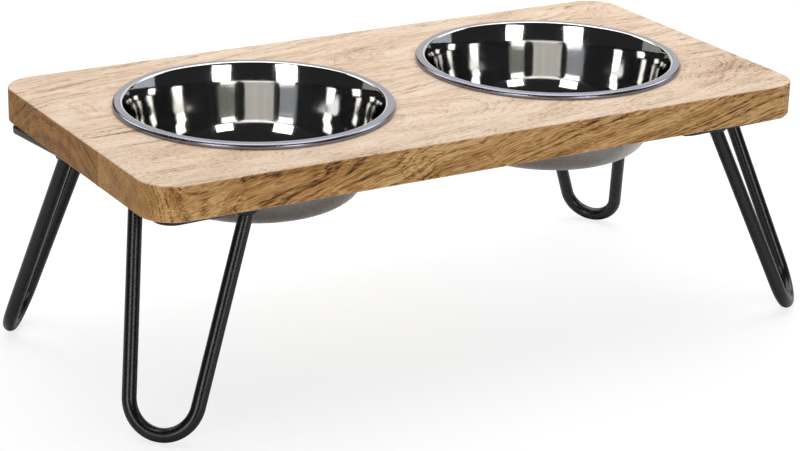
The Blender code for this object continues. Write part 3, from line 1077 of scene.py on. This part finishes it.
        # The loops of point numbers that bound the lower and the upper face
        low, high = [np.arange(count)], [np.arange(start - count, start)]
        hole = arc((0.0, 0.0), self.hole_radius, 0.0, -2 * math.pi, self.hole_sides)[:-1]
        for place in self.screw_places().values():
            faces += (grid_faces(2, self.hole_sides) + start).tolist()
            for loops, height in ((low, 0.0), (high, self.plate_thickness)):
                rings.append(lifted(hole + place, height))
                loops.append(np.arange(start, start + self.hole_sides))
                start += self.hole_sides
        points = np.concatenate(rings)
        for loops, upwards in ((low, False), (high, True)):
            corners = tessellate_polygon([[Vector(point) for point in points[loop]] for loop in loops])
            triangles = np.concatenate(loops)[np.array(corners)]
            first, second, third = points[triangles.T]
            wrong = (np.cross(second - first, third - first)[:, 2] > 0) != upwards
            triangles[wrong] = triangles[wrong, ::-1]
            faces += triangles.tolist()
        name = self.corner.label + "_plate"
        plate = as_object(name + "_steel", placed(points, self.plate_frame), faces, [coat])
        mount_piece(plate, Body.STAND, "black_steel", name)

    def build_welds(self, coat: Material) -> None:
        """Lays a rippled bead round each end of the rod, up against the plate.

        Args:
            coat: Their material.
        """
        points, ways = self.rod_path()
        ends = [(points[0], ways[0]), (points[-1], -ways[-1])]
        x_side, y_side = self.corner.value
        if x_side != y_side:
            ends.reverse()
        for which, (start, down) in zip(("side", "end"), ends):
            name = f"{self.corner.label}_weld_{which}"
            loop = self._bead(start, down)
            # The loop turns the other way than grid_faces takes it, so its faces are turned outwards
            faces = grid_faces(*loop.shape[:2], closed_rows=True)[:, ::-1].tolist()
            bead = as_object(name + "_bead", placed(loop, self.rod_frame), faces, [coat])
            mount_piece(bead, Body.STAND, "black_steel", name)

    def _bead(self, start: Points, down: Points) -> Points:
        """One weld bead as a grid of points, in the rod's own frame.

        Its section is a closed loop: it bulges from the plate down to its toe on the rod by a quarter of an
        ellipse and returns along the rod. It is carried round the rod's slanted section. Its bulge swells by
        a tenth with each ripple, where the ripples drift a little, and by 8 percent twice round the rod.

        Args:
            start: The middle of the rod's end.
            down: The way down the rod.

        Returns:
            An array of rows, points round the rod, and coordinates.
        """
        around = full_turn(self.weld_sides)
        drift = 0.8 * np.sin(around * 3)
        ripple = 1 + 0.10 * np.sin(around * self.weld_ripples + drift) + 0.08 * np.sin(around * 2 + 1)
        through = np.linspace(0, QUARTER, self.weld_rows)[:, None]
        bulge = self.rod_radius + self.weld_width * np.cos(through) * ripple
        drop = self.weld_height * np.sin(through)
        steep = abs(down[2])
        level = down * [1.0, 1.0, 0.0]
        slant = level / np.linalg.norm(level)
        across = np.array([-slant[1], slant[0], 0.0])
        circle = np.cos(around)[:, None] * slant / steep + np.sin(around)[:, None] * across
        outer = start + bulge[..., None] * circle + (drop / steep)[..., None] * down
        inner = start + (self.rod_radius - self.weld_bite) * circle
        toe = inner + (self.weld_height / steep) * down
        return np.concatenate([outer, toe[None], inner[None]]) - [0.0, 0.0, self.joint_gap]

    def build_screws(self, zinc: Material) -> None:
        """Drives a screw up through each hole of the plate.

        Args:
            zinc: Their material.
        """
        surface = Screw().surface()
        faces = grid_faces(*surface.shape[:2]).tolist()
        for which, place in self.screw_places().items():
            frame = self.plate_frame @ Matrix.Translation((*place, -self.joint_gap))
            name = f"{self.corner.label}_screw_{which}"
            screw = as_object(name + "_wood_screw", placed(surface, frame), faces, [zinc])
            close_poles(screw)
            mount_piece(screw, Body.STAND, "screw_steel", name)


def direction(azimuth: float, elevation: float) -> Vector:
    """The way out from the stand.

    Args:
        azimuth: Its angle from the front to the right, in radians.
        elevation: Its angle above the horizon, in radians.

    Returns:
        A unit vector.
    """
    level = math.cos(elevation)
    return Vector((math.sin(azimuth) * level, -math.cos(azimuth) * level, math.sin(elevation)))


def hang_light(name: str, size: Pair, glow: float, colour: str, place: Matrix) -> None:
    """Hangs a rectangular light.

    Args:
        name: Its name.
        size: Its width and height, in metres.
        glow: Its brightness beside the floor's white.
        colour: Its colour as six hex digits.
        place: Where its middle is and how it is turned.
    """
    data = bpy.data.lights.new(name, "AREA")
    data.shape = "RECTANGLE"
    data.size, data.size_y = size
    data.energy = glow * math.pi * data.size * data.size_y
    data.color = linear(colour)[:3]
    light = bpy.data.objects.new(name, data)
    light.matrix_world = place
    bpy.context.scene.collection.objects.link(light)


@dataclass(frozen=True)
class Softbox:
    """A rectangular studio light that faces the stand, given by the angles that it spans.

    Azimuth 0 is in front of the stand and 90 to its right. Elevation is above the horizon. Angles are in
    degrees, the distance in metres, and the glow is the light's brightness beside the floor's white.
    """

    name: str
    azimuths: Pair
    elevations: Pair
    distance: float
    glow: float
    colour: str = WHITE

    def build(self, aim: Vector) -> None:
        """Hangs the light at its distance from a point and turns it to that point.

        Args:
            aim: What it shines on.
        """
        elevation = math.radians(sum(self.elevations) / 2)
        away = direction(math.radians(sum(self.azimuths) / 2), elevation)
        half_width = math.radians(self.azimuths[1] - self.azimuths[0]) / 2
        half_height = math.radians(self.elevations[1] - self.elevations[0]) / 2
        width = 2 * self.distance * math.cos(elevation) * math.tan(half_width)
        height = 2 * self.distance * math.tan(half_height)
        turn = away.to_track_quat("Z", "Y").to_matrix().to_4x4()
        place = Matrix.Translation(aim + away * self.distance) @ turn
        hang_light(self.name, (width, height), self.glow, self.colour, place)


@dataclass(frozen=True)
class Overhead:
    """A level softbox above the stand, measured from the point under it along the way the camera looks."""

    name: str
    height: float
    near: float
    far: float
    width: float
    glow: float

    def build(self, aim: Vector, view_azimuth: float) -> None:
        """Hangs the light level.

        Args:
            aim: The point that it hangs over.
            view_azimuth: Where the camera stands, in radians from the front.
        """
        ahead = Vector((-math.sin(view_azimuth), math.cos(view_azimuth), 0.0))
        middle = aim + ahead * (self.near + self.far) / 2 + Vector((0.0, 0.0, self.height))
        place = Matrix.Translation(middle) @ Matrix.Rotation(view_azimuth, 4, "Z")
        hang_light(self.name, (self.width, self.far - self.near), self.glow, WHITE, place)


@dataclass
class Studio:
    """A pale seamless floor, soft lights and the camera of the photograph."""

    softboxes: tuple[Softbox, ...]
    overhead: Overhead = Overhead("overhead_softbox", 1.6, -0.35, 2.1, 1.8, 2.5)
    aim: Triple = (0.0, 0.0, 0.12)
    seen_room: str = WHITE
    mirrored_room: str = "2c2c2e"
    floor_half: float = 6.0
    floor_colour: str = "e2e2e2"
    floor_glow: float = 1.27
    floor_glow_share: float = 0.62
    focal_pixels: float = 2434.3
    picture_width: float = 800.0
    sensor_width: float = 36.0
    azimuth: float = math.radians(-31.139)
    elevation: float = math.radians(20.482)
    roll: float = math.radians(1.493)
    board_in_view: Triple = (3.21 * MM, 79.42 * MM, -1344.22 * MM)
    board_top: float = 139 * MM

    def build_camera(self) -> None:
        """Places the camera from the board's place in view, its angles and its focal length in pixels."""
        back = direction(self.azimuth, self.elevation)
        right = Vector((math.cos(self.azimuth), math.sin(self.azimuth), 0.0))
        up = back.cross(right)
        tilted_right = math.cos(self.roll) * right + math.sin(self.roll) * up
        tilted_up = math.cos(self.roll) * up - math.sin(self.roll) * right
        turn = Matrix((tilted_right, tilted_up, back)).transposed()
        place = turn @ -Vector(self.board_in_view) + Vector((0.0, 0.0, self.board_top))
        data = bpy.data.cameras.new("camera")
        data.sensor_fit = "HORIZONTAL"
        data.sensor_width = self.sensor_width
        data.lens = self.focal_pixels / self.picture_width * self.sensor_width
        data.clip_start, data.clip_end = 0.05, 50.0
        camera = bpy.data.objects.new("camera", data)
        camera.matrix_world = Matrix.Translation(place) @ turn.to_4x4()
        bpy.context.scene.collection.objects.link(camera)
        bpy.context.scene.camera = camera

    def build_floor(self) -> None:
        """Lays a wide pale floor under the stand."""
        material, tree, shader = new_material("painted_paper_sweep")
        finish = {"Base Color": linear(self.floor_colour), "Roughness": 0.9, "Specular IOR Level": 0.1}
        set_inputs(tree, shader, finish)
        # The camera sees the sweep overexposed, as in the photo, while reflections keep its shadows
        shine = {"Color": linear(WHITE), "Strength": self.floor_glow}
        glow = add_node(tree, "ShaderNodeEmission", {}, shine).outputs["Emission"]
        seen = add_node(tree, "ShaderNodeLightPath").outputs["Is Camera Ray"]
        share = weighed_sum(tree, [(seen, self.floor_glow_share)])
        sweep = add_node(tree, "ShaderNodeMixShader", {}, {0: share, 1: shader.outputs["BSDF"], 2: glow})
        set_inputs(tree, tree.nodes["Material Output"], {"Surface": sweep.outputs["Shader"]})
        square = np.array([[-1.0, -1.0], [1.0, -1.0], [1.0, 1.0], [-1.0, 1.0]])
        floor = as_object("floor", lifted(self.floor_half * square, 0.0), [[0, 1, 2, 3]], [material])

    def build_lights(self) -> None:
        """Hangs the softboxes and sets the dim room behind them, which the camera itself sees white."""
        aim = Vector(self.aim)
        for box in self.softboxes:
            box.build(aim)
        self.overhead.build(aim, self.azimuth)
        world = bpy.data.worlds.new("studio")
        bpy.context.scene.world = world
        world.use_nodes = True
        tree = world.node_tree
        tree.nodes.clear()
        inputs: Inputs = {0: add_node(tree, "ShaderNodeLightPath").outputs["Is Camera Ray"]}
        for number, colour in ((1, self.mirrored_room), (2, self.seen_room)):
            room = add_node(tree, "ShaderNodeBackground", {}, {"Color": linear(colour), "Strength": 1.0})
            inputs[number] = room.outputs["Background"]
        mixed = add_node(tree, "ShaderNodeMixShader", {}, inputs)
        add_node(tree, "ShaderNodeOutputWorld", {}, {"Surface": mixed.outputs["Shader"]})
        bpy.context.scene.view_settings.view_transform = "Standard"


LEGS = (
    Leg(Corner.FRONT_LEFT, (2.5, -3.0), 3.0, (0.4, 3.3), -3.6, 0.5),
    Leg(Corner.BACK_LEFT, (-7.7, -10.0), 7.0, (1.4, 7.7), 8.0, -0.8),
    Leg(Corner.FRONT_RIGHT, (5.0, 0.0), 2.7, (4.2, 0.4), 3.4, 2.3),
    Leg(Corner.BACK_RIGHT, (-4.0, 1.5), -4.0, (0.5, -1.3), -11.1, -3.5, -2.8),
)

STREAKS = (
    Streak((-178, -12, 139), (26, 2.0, 12), 0.08, 0.75),
    Streak((-180, 71, 139), (24, 2.4, 12), 0.23, 0.45),
    Streak((-164, 76, 139), (20, 1.8, 12), 0.23, 0.35),
    Streak((-122, 95, 139), (18, 1.6, 12), 0.16, 0.35),
    Streak((-158, -41, 139), (24, 1.8, 12), 0.22, 0.35),
    Streak((-6, -17, 139), (20, 2.0, 12), 0.26, 0.35),
    Streak((-130, -100, 137), (36, 3.0, 2.4), 0.0, 0.5),
    Streak((184, -25.5, 139), (20, 1.8, 12), -0.02, 0.5),
    Streak((193, -11, 139), (14, 1.4, 12), -0.18, 0.35),
    Streak((184, -58, 139), (62, 46, 12), 0.0, 0.30),
)

SOFTBOXES = (
    Softbox("softbox_left_of_camera", (-68, -49), (0, 27), 3.0, 4.5),
    Softbox("softbox_right_of_camera", (-7, 10), (0, 25), 3.0, 4.5),
    Softbox("softbox_behind_right", (76, 108), (22, 46), 3.0, 3.6, "f4f6ff"),
    Softbox("softbox_behind_left", (-170, -142), (22, 46), 3.0, 3.6),
    Softbox("right_side_of_backdrop", (73, 105), (0, 22), 3.2, 0.6, "eaf2ff"),
    Softbox("left_side_of_backdrop", (-169, -139), (0, 22), 3.2, 0.32, "f8fff0"),
    Softbox("lit_backdrop", (118, 171), (0, 35), 3.1, 1.0, "fffcf8"),
)


def main() -> None:
    """Builds the studio and every piece, and reports each."""
    logging.basicConfig(level=logging.INFO, format="%(message)s")
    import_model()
    studio = Studio(SOFTBOXES)
    studio.build_camera()
    studio.build_floor()
    studio.build_lights()

    board = Board()
    front_pith = (-200 * MM, -66 * MM, 124 * MM)
    back_pith = (-200 * MM, 20 * MM, 60 * MM)
    front_ends = ("d9a763", "bc8b52", "5e3b18")
    front_wood = MangoWood(
        "oiled_mango_front", front_pith, math.radians(11), math.radians(4), STREAKS, end_tones=front_ends
    )
    back_wood = MangoWood("oiled_mango_back", back_pith, math.radians(3), math.radians(7), STREAKS)
    board.build_stave("front_stave_wood", -1, "front_stave", front_wood.build())
    board.build_stave("back_stave_wood", 1, "back_stave", back_wood.build())

    steels = [
        Steel("buffed_stainless_inside", "d6d5d2", 0.065, 0.7, 0.08).build(),
        # The lip's colour is darker and lilac-tinted beside the same steel inside: painted shade and a
        # painted reflection of the room above it
        Steel("satin_stainless_lip", "9394a0", 0.24, 0.25, 0.12).build(),
        # The outside's colour is darker and warmer than the same steel inside: painted shade
        Steel("satin_stainless_outside", "b3aea8", 0.30, 0.25, 0.2).build(),
    ]
    Bowl(Body.LEFT_BOWL, -1).build("left_bowl_steel", "left_bowl", steels)
    Bowl(Body.RIGHT_BOWL, 1).build("right_bowl_steel", "right_bowl", steels)

    coat = BlackCoat("black_powder_coat").build()
    # The screws are zinc plated and passivated black, which leaves a greyer film with a finer grain
    zinc = BlackCoat("black_zinc_plating", colour="26272b", roughness=0.3, peel=0.5).build()
    for leg in LEGS:
        leg.build_rod(coat)
        leg.build_plate(coat)
        leg.build_welds(coat)
        leg.build_screws(zinc)


if __name__ == "__main__":
    main()
